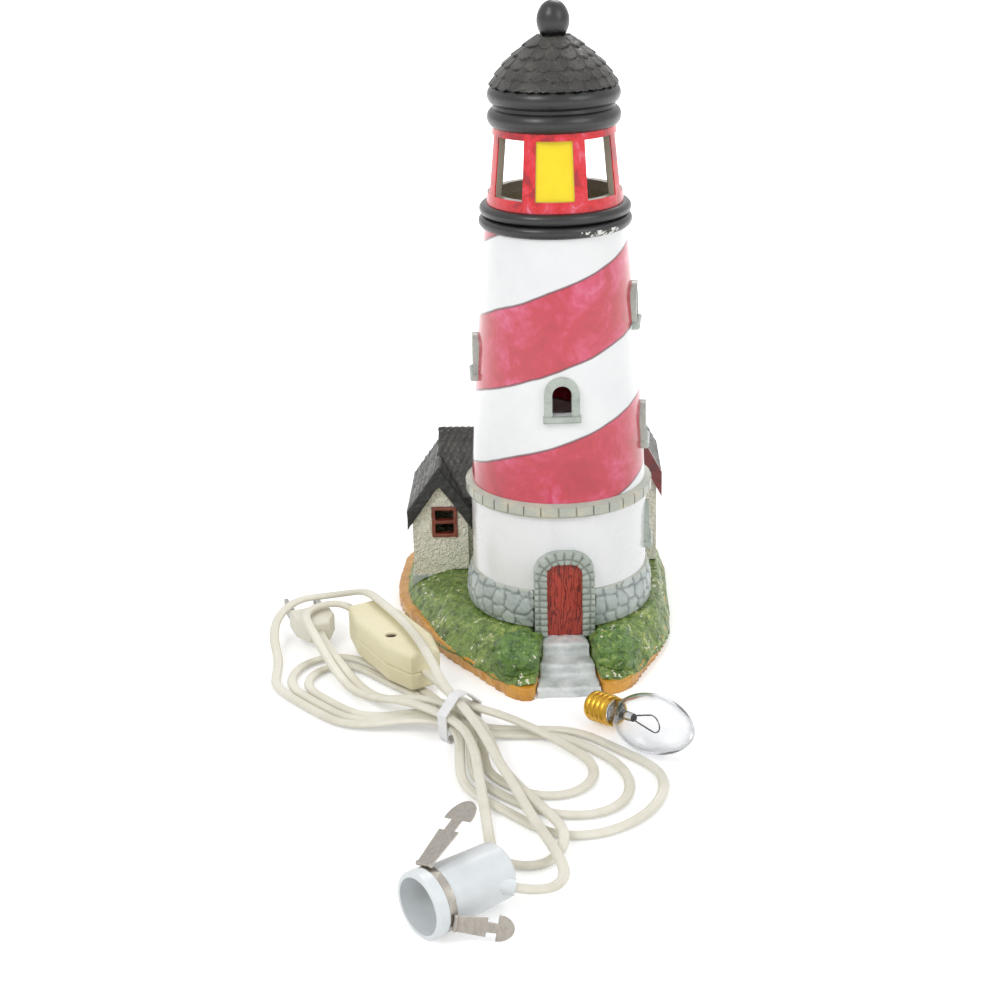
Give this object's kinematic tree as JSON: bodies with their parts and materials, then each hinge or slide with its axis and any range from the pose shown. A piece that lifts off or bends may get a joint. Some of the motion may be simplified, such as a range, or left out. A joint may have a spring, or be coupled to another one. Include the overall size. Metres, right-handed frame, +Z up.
{
  "type": "lighthouse ornament light",
  "caption": "Painted ceramic lighthouse ornament with cottages on a turf base, lantern room and tiled dome, with a clip-in cord set, rotary cord switch and clear candelabra bulb.",
  "frame": {"origin": "on the tower's axis at the flat underside of the base", "axes": "+Z up along the tower, -Y towards the door side, where the light set lies"},
  "size_m": [0.1697, 0.3258, 0.2597],
  "materials": {
    "ochre_rim": "gloss",
    "turf": "gloss",
    "pale_stone": "gloss",
    "shrub": "gloss",
    "fieldstone": "gloss",
    "white_glaze": "gloss",
    "ledge_stone": "gloss",
    "door_red": "gloss",
    "black_glaze": "gloss",
    "lantern_red": "gloss",
    "pane_yellow": "satin",
    "roof_tiles": "gloss",
    "stucco": "gloss",
    "window_brown": "gloss",
    "eave_red": "gloss",
    "socket_white": "gloss",
    "brass": "satin",
    "insulator_black": "matte",
    "clip_steel": "satin",
    "switch_cream": "satin",
    "screw_dark": "satin",
    "cord_white": "satin",
    "blade_steel": "satin",
    "bulb_glass": "gloss",
    "bulb_stem_glass": "gloss",
    "tie_paper": "matte"
  },
  "bodies": {
    "ornament_and_light_set": {"base_slab": "ochre_rim", "bush_left": "shrub", "bush_right": "shrub", "cord_hank": "cord_white", "cord_socket_lead": "cord_white", "cord_switch_feed": "cord_white", "cord_switch_to_plug": "cord_white", "dome_cornice": "black_glaze", "dome_roof": "roof_tiles", "door_leaf": "door_red", "door_surround": "fieldstone", "fieldstone_plinth": "fieldstone", "finial_ball": "black_glaze", "front_steps": "pale_stone", "gallery_lower_bead": "black_glaze", "gallery_upper_bead": "black_glaze", "grass_mound": "turf", "lantern_pane": "pane_yellow", "lantern_room": "lantern_red", "left_wing_boards": "black_glaze", "left_wing_foundation": "fieldstone", "left_wing_roof": "roof_tiles", "left_wing_walls": "stucco", "left_wing_window": "window_brown", "middle_roof": "roof_tiles", "middle_walls": "stucco", "plug_blades": "blade_steel", "plug_body": "cord_white", "right_wing_boards": "eave_red", "right_wing_roof": "roof_tiles", "right_wing_walls": "stucco", "socket_centre_contact": "brass", "socket_clip_band": "clip_steel", "socket_housing": "socket_white", "socket_insulator": "insulator_black", "socket_screw_shell": "brass", "stone_ledge": "ledge_stone", "switch_contacts": "brass", "switch_screw": "screw_dark", "switch_shell_bottom": "switch_cream", "switch_shell_top": "switch_cream", "tower_lower_drum": "white_glaze", "tower_shaft": "white_glaze", "twist_tie": "tie_paper", "window_surround_front": "pale_stone", "window_surround_left": "pale_stone", "window_surround_right_lower": "pale_stone", "window_surround_right_porch": "pale_stone", "window_surround_right_upper": "pale_stone"},
    "thumbwheel": {"switch_thumbwheel": "switch_cream"},
    "upper_wing": {"clip_wing_upper": "clip_steel"},
    "lower_wing": {"clip_wing_lower": "clip_steel"},
    "bulb": {"bulb_filament": "screw_dark", "bulb_glass": "bulb_glass", "bulb_insulator": "insulator_black", "bulb_screw_base": "brass", "bulb_stem": "bulb_stem_glass", "bulb_support_wires": "screw_dark", "bulb_tip_contact": "brass"}
  },
  "joints": [
    {"name": "thumbwheel_turn", "type": "hinge", "parent": "ornament_and_light_set", "child": "thumbwheel", "pos_m": [-0.05902, -0.04408, 0.0112], "axis": [0, 0, 1], "continuous": true},
    {"name": "upper_wing_spring", "type": "hinge", "parent": "ornament_and_light_set", "child": "upper_wing", "pos_m": [-0.04298, -0.22365, 0.02247], "axis": [-0.6202, 0.721, -0.309], "range_deg": [0, 20], "stiffness_Nm_per_rad": 0.02},
    {"name": "lower_wing_spring", "type": "hinge", "parent": "ornament_and_light_set", "child": "lower_wing", "pos_m": [-0.03314, -0.2351, 0.0084], "axis": [0.1578, -0.1834, 0.9703], "range_deg": [0, 20], "stiffness_Nm_per_rad": 0.02},
    {"name": "bulb_lift", "type": "slide", "parent": "ornament_and_light_set", "child": "bulb", "axis": [0, 0, 1], "range_m": [0, 0.04]}
  ]
}
